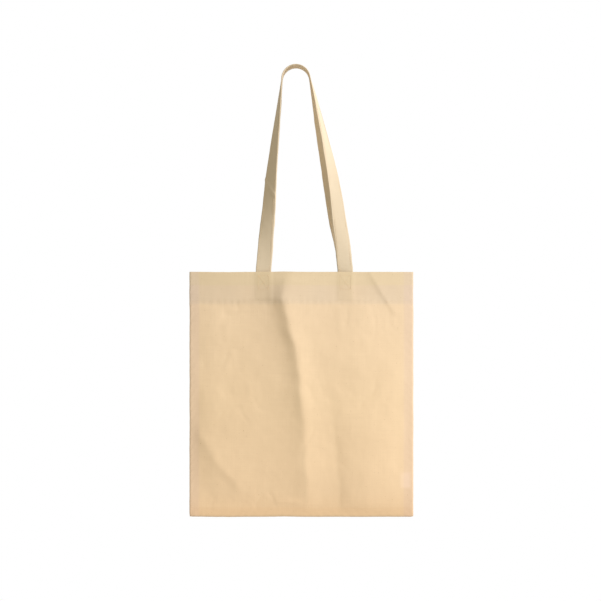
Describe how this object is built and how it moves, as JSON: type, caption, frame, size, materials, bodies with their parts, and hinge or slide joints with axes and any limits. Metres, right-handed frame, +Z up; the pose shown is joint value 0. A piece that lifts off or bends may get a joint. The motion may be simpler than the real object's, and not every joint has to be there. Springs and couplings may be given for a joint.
{
  "type": "tote bag",
  "caption": "Flat unbleached cotton tote bag with a deep turned hem and long sewn-in handles, hanging by its handle loops from a peg.",
  "frame": {"origin": "middle of the bottom seam, in the plane between the two panels", "axes": "+Z up towards the handle loops, +X to the right seen from the front, +Y from the front panel to the back panel"},
  "size_m": [0.384, 0.054, 0.7742],
  "materials": {
    "canvas": "matt plain weave",
    "handle_cotton": "matt plain weave",
    "seam_edges": "matt plain weave",
    "thread": "spun sewing thread",
    "label_ribbon": "satin ribbon"
  },
  "bodies": {
    "bag": {"back_panel": "canvas", "back_hem_stitching": "thread", "back_handle_left_end": "handle_cotton", "back_left_tack_stitching": "thread", "back_handle_right_end": "handle_cotton", "back_right_tack_stitching": "thread", "left_seam_allowance": "seam_edges", "left_seam_overlock": "thread", "right_seam_allowance": "seam_edges", "right_seam_overlock": "thread", "bottom_seam_allowance": "seam_edges", "bottom_seam_overlock": "thread", "care_label": "label_ribbon"},
    "front": {"front_panel": "canvas", "front_hem_stitching": "thread", "front_handle_left_end": "handle_cotton", "front_handle_right_end": "handle_cotton", "front_left_tack_stitching": "thread", "front_right_tack_stitching": "thread"},
    "front_handle": {"front_handle_strap": "handle_cotton", "front_handle_stitching": "thread"},
    "back_handle": {"back_handle_strap": "handle_cotton", "back_handle_stitching": "thread"}
  },
  "joints": [
    {"name": "mouth_opening", "type": "hinge", "parent": "bag", "child": "front", "pos_m": [0, 0, 0], "axis": [1, 0, 0], "range_deg": [0, 8]},
    {"name": "front_handle_fold", "type": "hinge", "parent": "front", "child": "front_handle", "pos_m": [0, -0.014, 0.42], "axis": [1, 0, 0], "range_deg": [0, 170]},
    {"name": "back_handle_fold", "type": "hinge", "parent": "bag", "child": "back_handle", "pos_m": [0, 0.014, 0.42], "axis": [-1, 0, 0], "range_deg": [0, 170]}
  ]
}
